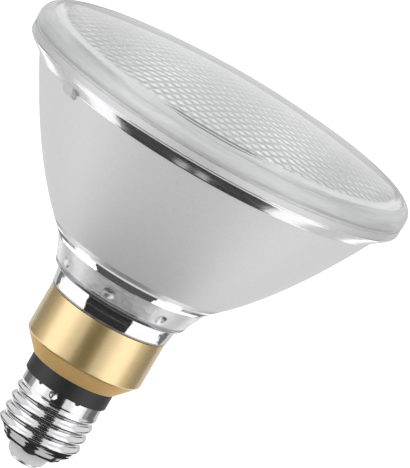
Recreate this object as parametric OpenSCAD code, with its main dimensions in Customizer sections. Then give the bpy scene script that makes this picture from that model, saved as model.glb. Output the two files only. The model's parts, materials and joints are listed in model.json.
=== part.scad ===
// Par spotlight lamp: a pressed glass reflector and lens on a metal collar, with an
// Edison screw cap below and a light-emitting diode module and its driver inside.
// The lamp's axis is Z. The lens faces +Z and the centre contact's face lies at z = 0.

/* [Screw cap] */
// Diameter of the centre contact
contact_d = 9.2; // [7:0.1:10.5]
// Thickness of the centre contact's disc
contact_t = 0.9; // [0.5:0.1:1.4]
// Diameter of the stem that holds the centre contact
contact_stem_d = 3; // [2:0.1:4]
// Height of the shell's lower edge above the contact's face
shell_foot_z = 4.2; // [3.4:0.1:5]
// Length of the screw shell
shell_h = 21.8; // [20:0.1:26]
// Diameter of the opening at the shell's lower edge
shell_mouth_d = 13.2; // [12.2:0.1:13.8]
// Diameter where the rolled lower edge meets the cone
shell_roll_d = 19.2; // [18.6:0.1:20.6]
// Height of the rolled lower edge
shell_roll_h = 1.9; // [1.6:0.1:2.8]
// Height of the cone between the rolled edge and the straight thread
shell_cone_h = 2.7; // [2:0.1:4.5]
// Diameter of the plain band above the thread
shell_band_d = 25.3; // [24.8:0.1:26]
// Height of the plain band above the thread
shell_band_h = 3.4; // [2:0.1:6]
// Thickness of the shell's sheet
shell_wall = 0.3; // [0.2:0.05:0.5]
// Rise of the thread in one turn
thread_pitch = 3.629; // [3.2:0.001:4]
// Diameter over the thread's crests
thread_crest_d = 26.1; // [25.6:0.1:27.5]
// Height of the thread's crests over its roots
thread_depth = 0.9; // [0.4:0.05:1.1]
// Thickness of the insulator's flange inside the shell
insulator_flange_t = 1.2; // [0.8:0.1:2]
// Width of the insulator's flange past the shell's mouth
insulator_flange_w = 1.1; // [0.6:0.1:1.6]

/* [Driver housing] */
// Distance that the black ring stands out over the thread's crests
ring_reach = 0.35; // [0.1:0.05:0.6]
// Height of the black ring
ring_h = 5.2; // [4:0.1:7]
// Wall of the driver housing
housing_wall = 1.1; // [0.8:0.1:1.4]
// Thickness of the housing's lid
lid_t = 1.2; // [0.8:0.1:2]

/* [Collar] */
// Outer diameter of the collar
collar_d = 37.9; // [37:0.1:42]
// Height of the collar's straight wall
collar_h = 15; // [13:0.1:18]
// Height of the cone at the collar's foot
collar_cone_h = 5.8; // [5:0.1:7]
// Distance that the collar's lower edge stands out over the black ring
collar_foot_reach = 0.4; // [0.2:0.1:1]
// Wall of the collar around the glass neck
collar_wall = 1; // [0.8:0.1:1.3]
// Depth of the pocket that takes the glass neck
collar_pocket_h = 5.5; // [4:0.1:7]
// Wall of the collar around its bore, which holds the heat spreader
collar_bore_wall = 3.2; // [2.9:0.1:3.5]

/* [Reflector] */
// Outer diameter of the lamp at the edge of its lens
lamp_d = 123; // [110:0.5:136]
// Height of the reflector's rim above the collar's top edge
reflector_h = 65.5; // [58:0.5:75]
// Thickness of the glass
glass_wall = 2.6; // [2:0.1:3]
// Height of the rim's straight wall
rim_wall_h = 2.1; // [1.5:0.1:3]
// Height of the curve between the bowl and the rim's wall
rim_roll_h = 4.6; // [4:0.1:6]
// Width of the curve between the bowl and the rim's wall
rim_roll_w = 5; // [4:0.1:6]
// Distance that the neck stands out over the collar just above it
neck_waist_reach = 0.2; // [0.1:0.05:0.5]
// Distance that the neck's lower band stands out over the collar at its top
neck_band_reach = 0.95; // [0.7:0.05:1.2]
// Height of the neck's lower band
neck_band_h = 5.5; // [4.5:0.1:6.5]
// Distance that the foot of the neck's cone stands out over the collar
neck_cone_reach = 3; // [2.6:0.05:3.3]
// Height of the neck's cone
neck_cone_h = 6.1; // [5.5:0.1:6.8]
// Distance that the top of the neck's cone stands out over the collar
neck_top_reach = 5.75; // [5.4:0.05:6.1]
// Height of the clear flare between the neck and the frosted bowl
flare_h = 3.1; // [2.7:0.1:3.5]
// Distance that the bowl's foot stands out over the neck's top
flare_reach = 2.85; // [2.5:0.05:3.2]
// Number of dimples around the neck
dimple_count = 8; // [5:1:9]
// Diameter of a dimple
dimple_d = 3.6; // [2:0.1:4.4]
// Depth of a dimple
dimple_depth = 0.6; // [0.3:0.05:0.9]
// Width of the locating lug under the rim
lug_w = 6; // [4:0.1:8]
// Height of the locating lug under the rim
lug_h = 6.5; // [5:0.1:7]

/* [Lens] */
// Thickness of the seal between the reflector and the lens
seal_t = 0.5; // [0.3:0.1:1]
// Height of the lens's straight edge
lens_edge_h = 2; // [1.5:0.1:3]
// Height of the lens's rounded shoulder
lens_shoulder_h = 4; // [3:0.1:5]
// Width of the lens's rounded shoulder
lens_shoulder_w = 5.1; // [4.6:0.1:5.8]
// Rise of the domed face over its edge
dome_h = 5.85; // [4:0.05:8]
// Thickness of the lens behind its face
lens_wall = 3.2; // [2.8:0.1:3.4]
// Width of the plain ring around the pebbled field
pebble_margin = 1.4; // [1.2:0.1:6]
// Distance between neighbouring pebbles
pebble_pitch = 3.5; // [3.4:0.05:5]
// Height of a pebble
pebble_depth = 0.45; // [0.2:0.05:0.7]

/* [Light source] */
// Thickness of the heat spreader's plate
spreader_t = 2; // [1.5:0.1:2.5]
// Wall of the heat spreader's skirt
spreader_wall = 1.2; // [0.9:0.1:1.3]
// Thickness of the thermal pad
pad_t = 0.5; // [0.3:0.1:1]
// Thickness of the round board that carries the light source
board_t = 1.5; // [1:0.1:2]
// Width of the square light source
module_w = 15; // [12:0.1:15.5]
// Thickness of the light source's carrier
module_t = 1; // [0.7:0.1:1.5]
// Diameter of the yellow phosphor disc
phosphor_d = 11; // [8:0.1:12]
// Thickness of the phosphor disc
phosphor_t = 0.6; // [0.4:0.1:1]
// Diameter of a board screw
screw_d = 2.5; // [2:0.1:2.6]
// Diameter of a board screw's head
screw_head_d = 4.2; // [3.6:0.1:4.4]
// Height of a board screw's head
screw_head_h = 1.5; // [1:0.1:2]
// Number of board screws
screw_count = 3; // [2:1:4]
// Diameter of an insulated wire
wire_d = 1.2; // [0.8:0.1:1.4]

/* [Driver] */
// Thickness of the driver's circuit board
pcb_t = 1.2; // [0.8:0.1:1.6]
// Distance of the circuit board's front from the lamp's axis
pcb_offset = 3; // [2.6:0.1:3.4]
// Diameter of the bulk capacitor
bulk_cap_d = 10; // [8:0.1:10.5]
// Length of the bulk capacitor
bulk_cap_h = 16; // [13:0.5:16.5]
// Diameter of the output capacitor
output_cap_d = 6; // [5:0.1:6.3]
// Length of the output capacitor
output_cap_h = 10; // [8:0.1:11]
// Width of the transformer's core
transformer_w = 13; // [11:0.1:13.5]
// Depth of the transformer's core
transformer_depth = 6; // [5:0.1:7]
// Distance that the winding stands out in front of the core and behind it
winding_reach = 1.5; // [1:0.1:1.8]
// Height of the transformer's core
transformer_h = 12; // [10:0.1:13]
// Width of the film capacitor
film_cap_w = 7; // [6:0.1:8]
// Depth of the film capacitor
film_cap_depth = 3.6; // [3:0.1:4]
// Height of the film capacitor
film_cap_h = 9; // [8:0.1:9.5]
// Width of the bridge rectifier and of the controller chip
chip_w = 5; // [4:0.1:5.5]
// Thickness of the bridge rectifier and of the controller chip
chip_t = 1.5; // [1:0.1:1.8]
// Height of the bridge rectifier and of the controller chip
chip_h = 4; // [3:0.1:5]
// Diameter of the fuse resistor
fuse_d = 3.6; // [3:0.1:4]
// Length of the fuse resistor
fuse_h = 7; // [6:0.1:7.5]
// Diameter of a component's bare lead
lead_d = 0.8; // [0.6:0.05:1]

/* [Hidden] */
$fn = 96;
// Running clearance between round pieces that fit into each other
fit_gap = 0.15;
// Gap between a round component and the board it lies on
seat_gap = 0.1;
// Chamfer that breaks an outer edge
edge_break = 0.3;
// Overrun of a cut past the surface that it opens
overrun = 0.5;

// Screw cap: radii and heights
contact_r = contact_d / 2;
contact_edge_r = contact_t / 2;
contact_stem_r = contact_stem_d / 2;
shell_mouth_r = shell_mouth_d / 2;
shell_roll_r = shell_roll_d / 2;
shell_band_r = shell_band_d / 2;
thread_root_r = thread_crest_d / 2 - thread_depth;
thread_foot_h = shell_roll_h + thread_pitch / 4;
thread_top_h = shell_h - shell_band_h;
thread_turn = 50;
shell_top_z = shell_foot_z + shell_h;
shell_facets = 36;
slices_per_turn = 10;
roll_slices = 5;
insulator_r = shell_mouth_r - fit_gap;
insulator_brim_w = 0.4;
insulator_flange_r = shell_mouth_r + insulator_flange_w;
insulator_flange_z = shell_foot_z + shell_roll_h + fit_gap
    - (shell_roll_h - shell_wall)
    * cos(asin(insulator_flange_w / (shell_roll_r - shell_mouth_r - shell_wall)));
insulator_top_z = insulator_flange_z + insulator_flange_t;
stem_top_z = insulator_top_z + contact_edge_r;
stem_bore_depth = 2;

// Driver housing: radii and heights
ring_r = thread_crest_d / 2 + ring_reach;
ring_top_z = shell_top_z + ring_h;
sleeve_r = min(thread_root_r, shell_band_r) - shell_wall - 2 * fit_gap;
sleeve_foot_z = shell_foot_z + shell_roll_h + shell_cone_h + 2 * fit_gap;
housing_spigot_r = sleeve_r + housing_wall / 2;
housing_spigot_h = 1.2;

// Collar: radii and heights
collar_r = collar_d / 2;
collar_foot_r = ring_r + collar_foot_reach;
collar_bore_r = collar_r - collar_bore_wall;
housing_tube_r = collar_bore_r - spreader_wall - 3 * fit_gap;
collar_throat_r = housing_spigot_r + fit_gap;
collar_corner_z = ring_top_z + collar_cone_h;
collar_top_z = collar_corner_z + collar_h;
collar_pocket_z = collar_top_z - collar_pocket_h;
collar_seat_z = collar_corner_z + collar_wall;
collar_seat_r = housing_tube_r + fit_gap + spreader_wall / 2;
housing_flare_z = collar_corner_z - collar_wall;

// Reflector: radii and heights
lens_r = lamp_d / 2;
rim_inset = 0.1;
reflector_r = lens_r - rim_inset;
neck_waist_r = collar_r + neck_waist_reach;
neck_band_r = collar_r + neck_band_reach;
neck_cone_r = collar_r + neck_cone_reach;
neck_top_r = collar_r + neck_top_reach;
bowl_foot_r = neck_top_r + flare_reach;
bowl_top_r = reflector_r - rim_roll_w;
neck_foot_z = collar_top_z + fit_gap;
neck_band_z = collar_top_z + neck_band_h;
neck_ledge_h = neck_cone_r - neck_band_r;
neck_cone_z = neck_band_z + neck_ledge_h;
neck_top_z = neck_cone_z + neck_cone_h;
frost_step = 0.25;
frost_z = neck_top_z + flare_h;
flare_bend_share = 0.45;
flare_bend_r = bowl_foot_r - frost_step - flare_reach * flare_bend_share;
flare_bend_z = neck_top_z + flare_h * flare_bend_share;
rim_top_z = collar_top_z + reflector_h;
rim_wall_z = rim_top_z - rim_wall_h;
rim_roll_z = rim_wall_z - rim_roll_h;
// The bowl is a paraboloid through its foot and its top
bowl_focus = (bowl_top_r * bowl_top_r - bowl_foot_r * bowl_foot_r) / (4 * (rim_roll_z - frost_z));
bowl_vertex_z = frost_z - bowl_foot_r * bowl_foot_r / (4 * bowl_focus);
tail_gap = 0.35;
tail_r = collar_r - collar_wall - tail_gap;
tail_bore_r = collar_bore_r + fit_gap;
band_bore_r = neck_waist_r - glass_wall;
cone_bore_r = neck_cone_r - glass_wall;
cement_margin = 0.5;
rim_bore_r = inner_bowl_r(rim_top_z);
roll_corner_share = 0.85;
bowl_shares = [0.08, 0.17, 0.27, 0.38, 0.5, 0.62, 0.75, 0.88];
dimple_z_share = 0.33;
dimple_turn = -7;
lug_turn = -137;
lug_reach = 2;

// Lens: radii and heights
lens_face_r = lens_r - lens_shoulder_w;
dome_radius = (lens_face_r * lens_face_r + dome_h * dome_h) / (2 * dome_h);
lens_foot_z = rim_top_z + seal_t;
lens_edge_z = lens_foot_z + lens_edge_h;
lens_face_z = lens_edge_z + lens_shoulder_h;
crown_z = lens_face_z + dome_h;
inner_dome_radius = dome_radius - lens_wall;
lens_bore_r = lens_face_r - edge_break - fit_gap;
lens_flange_r = rim_bore_r + seat_gap;
seal_inset = 0.5;
pebble_field_r = lens_face_r - pebble_margin;
pebble_step = pebble_pitch / sqrt(3);
pebble_row = pebble_pitch / 2;
pebble_rows = ceil(pebble_field_r / pebble_row) + 1;
pebble_columns = ceil(pebble_field_r / pebble_step) + 1;
pebble_seat = 0.05;
pebble_cap_share = 0.4;

// Light source: radii and heights
spreader_margin = 0.6;
spreader_seat_share = 0.38;
spreader_top_z = mix(neck_top_z, frost_z, spreader_seat_share);
spreader_z = spreader_top_z - spreader_t;
spreader_r = neck_bore_r(spreader_z) - spreader_margin;
spreader_skirt_r = collar_bore_r - fit_gap;
pad_z = spreader_top_z;
board_z = pad_z + pad_t;
board_top_z = board_z + board_t;
board_r = spreader_r - spreader_margin;
pad_r = board_r - spreader_margin / 2;
module_top_z = board_top_z + module_t;
screw_r = screw_d / 2;
screw_ring_r = (spreader_skirt_r + board_r) / 2;
screw_turn = 30;
wire_r = wire_d / 2;
wire_bend_r = 2 * wire_r;
wire_spread_share = 0.85;
wire_x = wire_d * wire_spread_share;
wire_y = module_w / 2 + wire_bend_r + 2 * wire_r + edge_break;
wire_hole_r = wire_x + wire_r + edge_break;
wire_top_z = board_top_z + wire_r + pebble_seat;
wire_tail_y = module_w / 2 + edge_break;

// Driver: radii and heights
lid_clearance = 3.4;
housing_top_z = spreader_z - lid_t - lid_clearance;
board_edge_gap = 3;
pcb_foot_z = sleeve_foot_z + board_edge_gap;
pcb_top_z = housing_top_z - board_edge_gap;
pcb_h = pcb_top_z - pcb_foot_z;
pcb_step_z = housing_flare_z + board_edge_gap / 2;
pcb_back_y = pcb_offset + pcb_t;
pcb_wall_gap = 0.3;
pcb_wide = chord_half(housing_tube_r - housing_wall - pcb_wall_gap, pcb_back_y);
pcb_narrow = chord_half(sleeve_r - housing_wall - pcb_wall_gap, pcb_back_y);
wire_tail_z = pcb_top_z - board_edge_gap;
fuse_foot_z = pcb_foot_z - lead_d;
fuse_top_z = fuse_foot_z + fuse_h;
fuse_lead_foot_z = stem_top_z - stem_bore_depth / 2;
lead_r = lead_d / 2;
bulk_cap_foot_share = 0.24;
output_cap_foot_share = 0.62;
transformer_foot_share = 0.68;
film_cap_foot_share = 0.2;
rectifier_foot_share = 0.5;
controller_foot_share = 0.72;
winding_height_share = 0.62;
core_leg_share = 0.14;
core_leg_w = transformer_w * core_leg_share;
transformer_y = pcb_offset - seat_gap - winding_reach - transformer_depth;
transformer_z = pcb_foot_z + pcb_h * transformer_foot_share;
window_h = transformer_h * winding_height_share;
window_z = transformer_z + (transformer_h - window_h) / 2;
neutral_r = lead_r;
neutral_x = pcb_narrow - board_edge_gap / 2;
neutral_z = (insulator_top_z + sleeve_foot_z) / 2;
neutral_reach = shell_base_r(neutral_z - shell_foot_z) - shell_wall - 2 * fit_gap;

// Value at the given share of the way from a to b
function mix(a, b, share) = a + (b - a) * share;
// Shares from 0 to 1 in equal steps
function shares(count) = [for (i = [0 : count]) i / count];
// Rise of an arc of radius r over half a chord
function sagitta(r, half) = r - sqrt(r * r - half * half);
// Half the chord of a circle of radius r at the given distance from its centre
function chord_half(r, distance) = sqrt(r * r - distance * distance);
// Point of a cubic curve with the control points p
function curve_point(p, t) = pow(1 - t, 3) * p[0] + 3 * t * pow(1 - t, 2) * p[1]
    + 3 * t * t * (1 - t) * p[2] + pow(t, 3) * p[3];
// Points of a quarter ellipse from its lowest point out to its widest point
function quarter(centre, radius, height, count) =
    [for (t = shares(count)) [centre[0] + radius * sin(90 * t), centre[1] - height * cos(90 * t)]];
// Points of a list in the opposite order
function reversed(list) = [for (i = [len(list) - 1 : -1 : 0]) list[i]];

// Outer radius of the bowl's paraboloid at height z
function bowl_r(z) = sqrt(4 * bowl_focus * (z - bowl_vertex_z));
// Growth of the bowl's outer radius with height
function bowl_slope(z) = 2 * bowl_focus / bowl_r(z);
// Inner radius of the bowl at height z
function inner_bowl_r(z) = bowl_r(z) - glass_wall * sqrt(1 + pow(bowl_slope(z), 2));
// Inner radius of the neck's cone at height z
function neck_bore_r(z) =
    mix(cone_bore_r, inner_bowl_r(frost_z), (z - neck_cone_z) / (frost_z - neck_cone_z));
// Height of the lens's inner face at radius r
function inner_dome_z(r) = crown_z - lens_wall - sagitta(inner_dome_radius, r);

// Radius of the shell without its thread at height h above its lower edge
function shell_base_r(h) =
    h < shell_roll_h ? mix(shell_mouth_r, shell_roll_r, sqrt(1 - pow(1 - h / shell_roll_h, 2))) :
    h < shell_roll_h + shell_cone_h ? mix(shell_roll_r, thread_root_r, (h - shell_roll_h) / shell_cone_h) :
    h < thread_top_h - thread_pitch / 2 ? thread_root_r :
    h < thread_top_h ? mix(thread_root_r, shell_band_r, 1 - (thread_top_h - h) * 2 / thread_pitch) :
    shell_band_r;
// Strength of the thread, which fades in and out over half a turn
function thread_fade(h) =
    max(0, min(1, (h - thread_foot_h) * 2 / thread_pitch, (thread_top_h - h) * 2 / thread_pitch));
// Height of the thread over its root at height h and turning angle a
function thread_bump(h, a) =
    thread_depth * thread_fade(h) * (1 + cos(360 * h / thread_pitch + thread_turn - a)) / 2;

module turned(points) {
    rotate_extrude()
        polygon(points);
}

// Copies its children around the axis
module around(count, first_turn) {
    for (i = [0 : count - 1])
        rotate([0, 0, first_turn + 360 * i / count])
            children();
}

// Block centred on x, with its front at y, its foot at z
module block(width, depth, height, y, z) {
    translate([-width / 2, y, z])
        cube([width, depth, height]);
}

// Flat contact disc with rounded edges on a hollow stem
module centre_contact() {
    color("silver")
        difference() {
            turned(concat(
                [[0, 0]],
                quarter([contact_r - contact_edge_r, contact_edge_r], contact_edge_r, contact_edge_r, 4),
                [[contact_r, contact_t], [contact_stem_r, contact_t],
                    [contact_stem_r, stem_top_z], [0, stem_top_z]]));
            translate([0, 0, stem_top_z - stem_bore_depth])
                cylinder(r = lead_r + seat_gap, h = stem_bore_depth + overrun);
        }
}

// White plastic dome that holds the contact, with a flange inside the shell's mouth
module cap_insulator() {
    bore_r = contact_stem_r + seat_gap;
    dome_r = contact_r + insulator_brim_w;
    color("whitesmoke")
        turned(concat(
            [[bore_r, contact_t]],
            [for (t = shares(5)) [
                mix(dome_r, insulator_r, sin(90 * t)),
                mix(shell_foot_z, contact_t, cos(90 * t))]],
            [[insulator_r, insulator_flange_z], [insulator_flange_r, insulator_flange_z],
                [insulator_flange_r, insulator_top_z], [bore_r, insulator_top_z]]));
}

// Thin rolled sheet with the round screw thread pressed into it
module screw_shell() {
    thread_count = ceil((thread_top_h - shell_roll_h) * slices_per_turn / thread_pitch);
    roll = [for (t = shares(roll_slices)) [sin(90 * t), cos(90 * t)]];
    straight = [for (t = shares(thread_count)) if (t > 0) mix(shell_roll_h, thread_top_h, t)];
    // Each station is the height and the radius of the sheet without its thread
    outside = concat(
        [for (t = roll) [shell_roll_h * (1 - t[1]), mix(shell_mouth_r, shell_roll_r, t[0])]],
        [for (h = straight) [h, shell_base_r(h)]],
        [[shell_h, shell_band_r]]);
    inside = concat(
        [for (t = roll) [
            shell_roll_h - (shell_roll_h - shell_wall) * t[1],
            mix(shell_mouth_r, shell_roll_r - shell_wall, t[0])]],
        [for (h = straight) [h, shell_base_r(h) - shell_wall]],
        [[shell_h, shell_band_r - shell_wall]]);
    stations = concat(outside, reversed(inside));
    count = len(stations);
    points = [for (s = stations) for (k = [0 : shell_facets - 1])
        let (a = 360 * k / shell_facets, r = s[1] + thread_bump(s[0], a))
            [r * cos(a), r * sin(a), s[0]]];
    faces = [for (i = [0 : count - 1]) for (k = [0 : shell_facets - 1])
        let (j = (i + 1) % count, n = (k + 1) % shell_facets,
            a = i * shell_facets + k, b = i * shell_facets + n,
            c = j * shell_facets + n, d = j * shell_facets + k)
            each [[a, c, b], [a, d, c]]];
    color("gainsboro")
        translate([0, 0, shell_foot_z])
            polyhedron(points, faces);
}

// Black plastic tube: a sleeve inside the shell, the visible ring and the tube in the collar
module driver_housing() {
    spigot_z = ring_top_z + housing_spigot_h;
    color("dimgray")
        turned([
            [sleeve_r - housing_wall, sleeve_foot_z], [sleeve_r, sleeve_foot_z], [sleeve_r, shell_top_z],
            [ring_r, shell_top_z], [ring_r, ring_top_z], [housing_spigot_r, ring_top_z],
            [housing_spigot_r, spigot_z], [housing_tube_r, housing_flare_z],
            [housing_tube_r, housing_top_z], [housing_tube_r - housing_wall, housing_top_z],
            [housing_tube_r - housing_wall, housing_flare_z], [sleeve_r - housing_wall, spigot_z]]);
}

// Lid of the driver housing, with a hole for the two wires
module housing_lid() {
    color("dimgray")
        difference() {
            translate([0, 0, housing_top_z])
                cylinder(r = housing_tube_r, h = lid_t);
            translate([0, wire_y, housing_top_z - overrun])
                cylinder(r = wire_hole_r, h = lid_t + 2 * overrun);
        }
}

// Gold metal collar with a cone at its foot, a bore and a pocket for the glass neck
module collar() {
    color("goldenrod")
        turned([
            [collar_throat_r, ring_top_z], [collar_foot_r, ring_top_z], [collar_r, collar_corner_z],
            [collar_r, collar_top_z - edge_break], [collar_r - edge_break, collar_top_z],
            [collar_r - collar_wall, collar_top_z], [collar_r - collar_wall, collar_pocket_z],
            [collar_bore_r, collar_pocket_z], [collar_bore_r, collar_seat_z],
            [collar_seat_r, collar_seat_z], [collar_seat_r, housing_flare_z],
            [collar_throat_r, ring_top_z + housing_spigot_h - fit_gap]]);
}

// Cement ring that bonds the glass neck into the collar's pocket
module neck_cement() {
    color("lightgray")
        difference() {
            translate([0, 0, collar_pocket_z])
                cylinder(r = collar_r - collar_wall, h = collar_pocket_h - cement_margin);
            translate([0, 0, collar_pocket_z - overrun])
                cylinder(r = tail_r, h = collar_pocket_h + overrun);
        }
}

// Pressed glass bowl with its rim, its neck and the tail that stands in the collar
module reflector() {
    neck = concat(
        [[tail_bore_r, collar_pocket_z], [tail_r, collar_pocket_z], [tail_r, neck_foot_z],
            [neck_waist_r, neck_foot_z]],
        quarter([neck_band_r, neck_cone_z], neck_ledge_h, neck_ledge_h, 4),
        [[neck_top_r, neck_top_z], [flare_bend_r, flare_bend_z],
            [bowl_foot_r - frost_step, frost_z], [bowl_foot_r, frost_z]]);
    bowl = [for (s = bowl_shares) let (z = mix(frost_z, rim_roll_z, s)) [bowl_r(z), z]];
    roll_corner_z = mix(rim_roll_z, rim_wall_z, roll_corner_share);
    roll = [for (t = shares(9)) curve_point([
        [bowl_top_r, rim_roll_z],
        [mix(bowl_top_r, reflector_r, roll_corner_share),
            mix(rim_roll_z, roll_corner_z, roll_corner_share)],
        [reflector_r, roll_corner_z],
        [reflector_r, rim_wall_z]], t)];
    inner_bowl = [for (s = concat([0], bowl_shares, [1]))
        let (z = mix(frost_z, rim_top_z, s)) [inner_bowl_r(z), z]];
    neck_bore = [[cone_bore_r, neck_cone_z], [band_bore_r, neck_foot_z + glass_wall],
        [tail_bore_r, neck_foot_z]];
    color("lightgray")
        difference() {
            union() {
                turned(concat(
                    neck, bowl, roll,
                    [[reflector_r, rim_top_z - edge_break], [reflector_r - edge_break, rim_top_z]],
                    reversed(inner_bowl), neck_bore));
                locating_lug();
            }
            around(dimple_count, dimple_turn)
                dimple();
        }
}

// Ball that presses one dimple into the neck's cone
module dimple() {
    ball_r = (pow(dimple_d / 2, 2) + dimple_depth * dimple_depth) / (2 * dimple_depth);
    z = mix(neck_cone_z, neck_top_z, dimple_z_share);
    r = mix(neck_cone_r, neck_top_r, dimple_z_share);
    tilt = atan((neck_top_r - neck_cone_r) / neck_cone_h);
    translate([r, 0, z])
        rotate([0, tilt, 0])
            translate([ball_r - dimple_depth, 0, 0])
                sphere(r = ball_r);
}

// Moulded lug in the hollow under the rim
module locating_lug() {
    foot_z = rim_wall_z - lug_h;
    sunk = glass_wall / 2;
    root_r = bowl_r(foot_z) - sunk;
    rotate([0, 0, lug_turn])
        translate([root_r, lug_w / 2, foot_z])
            rotate([90, 0, 0])
                linear_extrude(height = lug_w)
                    polygon([[0, 0], [sunk + lug_reach / 2, 0], [sunk + lug_reach, lug_reach / 2],
                        [sunk + 2 * lug_reach, lug_h], [0, lug_h]]);
}

// Thin seal between the reflector's rim and the lens
module rim_seal() {
    color("gray")
        difference() {
            translate([0, 0, rim_top_z])
                cylinder(r = reflector_r - seal_inset, h = seal_t);
            translate([0, 0, rim_top_z - overrun])
                cylinder(r = lens_flange_r, h = seal_t + 2 * overrun);
        }
}

// Domed glass disc with a rounded rim and a field of pebbles on its inner face
module lens() {
    outer_dome = [for (t = shares(8)) let (r = lens_face_r * t) [r, crown_z - sagitta(dome_radius, r)]];
    shoulder = reversed([for (t = shares(6)) [
        mix(lens_face_r, lens_r, cos(90 * t)),
        lens_edge_z + lens_shoulder_h * sin(90 * t)]]);
    inner_dome = [for (t = shares(8)) let (r = lens_bore_r * t) [r, inner_dome_z(r)]];
    color("aliceblue")
        union() {
            turned(concat(
                outer_dome, shoulder,
                [[lens_r, lens_foot_z + edge_break], [lens_r - edge_break, lens_foot_z],
                    [lens_flange_r, lens_foot_z]],
                reversed(inner_dome)));
            pebble_field();
        }
}

// Layer of pebbles under the inner face. Its points lie on a triangular grid, where every
// third point is a pebble's top. Points past the field's edge move in to that edge.
module pebble_field() {
    row_length = 2 * pebble_columns + 1;
    cells = [for (row = [-pebble_rows : pebble_rows]) for (column = [-pebble_columns : pebble_columns])
        [-pebble_row * row, pebble_step * (column + (abs(row) % 2) / 2),
            abs(column - floor(row / 2) - row) % 3 == 0 ? 1 : 0]];
    kept = [for (c = cells) norm([c[0], c[1]]) < pebble_field_r];
    low = [for (i = [0 : len(cells) - 1])
        let (c = cells[i], r = norm([c[0], c[1]]), s = kept[i] ? 1 : pebble_field_r / r,
            drop = kept[i] ? c[2] * pebble_depth : 0)
            [c[0] * s, c[1] * s, inner_dome_z(min(r, pebble_field_r)) - pebble_seat - drop]];
    cap_rise = lens_wall * pebble_cap_share;
    cap = [for (share = [1, 0.5]) for (p = low)
        [p[0] * share, p[1] * share, inner_dome_z(norm([p[0], p[1]]) * share) + cap_rise]];
    points = concat(low, cap, [[0, 0, inner_dome_z(0) + cap_rise]]);
    count = len(cells);
    apex = 3 * count;
    // The two triangles above each grid edge, counter-clockwise seen from above
    triangles = [for (row = [0 : 2 * pebble_rows - 1]) for (column = [0 : 2 * pebble_columns - 1])
        let (odd = abs(row - pebble_rows) % 2, a = row * row_length + column, b = a + 1,
            c = a + row_length, d = c + 1)
            each odd == 1 ? [[a, b, d], [a, d, c]] : [[a, b, c], [b, d, c]]];
    used = [for (t = triangles) if (kept[t[0]] || kept[t[1]] || kept[t[2]]) t];
    border = [for (t = used) for (i = [0 : 2])
        let (a = t[i], b = t[(i + 1) % 3], c = t[(i + 2) % 3])
            if (!kept[a] && !kept[b] && kept[c]) [a, b]];
    faces = concat(
        used,
        [for (e = border) each [
            [e[0], e[1] + count, e[1]], [e[0], e[0] + count, e[1] + count],
            [e[0] + count, e[1] + 2 * count, e[1] + count],
            [e[0] + count, e[0] + 2 * count, e[1] + 2 * count],
            [e[0] + 2 * count, apex, e[1] + 2 * count]]]);
    polyhedron(points, faces);
}

// Aluminium plate under the light source, with a skirt down into the collar's bore
module heat_spreader() {
    color("lightsteelblue")
        difference() {
            turned([
                [spreader_skirt_r - spreader_wall, collar_seat_z], [spreader_skirt_r, collar_seat_z],
                [spreader_skirt_r, spreader_z], [spreader_r, spreader_z], [spreader_r, spreader_top_z],
                [0, spreader_top_z], [0, spreader_z], [spreader_skirt_r - spreader_wall, spreader_z]]);
            board_holes(spreader_z, spreader_t);
        }
}

// Holes for the wires and the screws through a plate of the given thickness
module board_holes(z, thickness) {
    translate([0, wire_y, z - overrun])
        cylinder(r = wire_hole_r, h = thickness + 2 * overrun);
    around(screw_count, screw_turn)
        translate([screw_ring_r, 0, z - overrun])
            cylinder(r = screw_r + seat_gap, h = thickness + 2 * overrun);
}

// Soft pad that carries the board's heat to the spreader
module thermal_pad() {
    color("pink")
        difference() {
            translate([0, 0, pad_z])
                cylinder(r = pad_r, h = pad_t);
            board_holes(pad_z, pad_t);
        }
}

// Round aluminium circuit board that carries the light source
module light_board() {
    color("white")
        difference() {
            translate([0, 0, board_z])
                cylinder(r = board_r, h = board_t);
            board_holes(board_z, board_t);
        }
}

// Square ceramic carrier of the light source
module light_module() {
    color("ivory")
        block(module_w, module_w, module_t, -module_w / 2, board_top_z);
}

// Yellow phosphor disc over the diode chips
module phosphor_disc() {
    color("gold")
        translate([0, 0, module_top_z])
            cylinder(d = phosphor_d, h = phosphor_t);
}

// Screws that hold the board and the pad on the spreader
module board_screws() {
    color("silver")
        around(screw_count, screw_turn)
            translate([screw_ring_r, 0, 0]) {
                translate([0, 0, spreader_z])
                    cylinder(r = screw_r, h = board_top_z - spreader_z);
                translate([0, 0, board_top_z])
                    cylinder(d = screw_head_d, h = screw_head_h);
            }
}

// Wire from the driver's board up through the lid to the light source's board
module lamp_wire(x) {
    low_z = wire_tail_z + wire_bend_r;
    high_z = wire_top_z - wire_bend_r;
    translate([x, wire_y, low_z])
        cylinder(r = wire_r, h = high_z - low_z);
    translate([x, wire_y - wire_bend_r, high_z])
        wire_bend(0);
    translate([x, wire_y - wire_bend_r, low_z])
        wire_bend(-90);
    translate([x, wire_y - wire_bend_r, wire_top_z])
        rotate([90, 0, 0])
            cylinder(r = wire_r, h = wire_y - wire_bend_r - wire_tail_y);
    translate([x, wire_y - wire_bend_r, wire_tail_z])
        rotate([90, 0, 0])
            cylinder(r = wire_r, h = wire_y - wire_bend_r - pcb_back_y);
}

// Quarter bend in the YZ plane
module wire_bend(turn) {
    rotate([turn, 0, 0])
        rotate([90, 0, 90])
            rotate_extrude(angle = 90)
                translate([wire_bend_r, 0])
                    circle(r = wire_r);
}

module positive_wire() {
    color("red")
        lamp_wire(wire_x);
}

module negative_wire() {
    color("black")
        lamp_wire(-wire_x);
}

// Upright circuit board, narrow inside the sleeve and wide inside the tube
module driver_board() {
    color("seagreen") {
        block(2 * pcb_narrow, pcb_t, pcb_step_z - pcb_foot_z, pcb_offset, pcb_foot_z);
        block(2 * pcb_wide, pcb_t, pcb_top_z - pcb_step_z, pcb_offset, pcb_step_z);
    }
}

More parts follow.
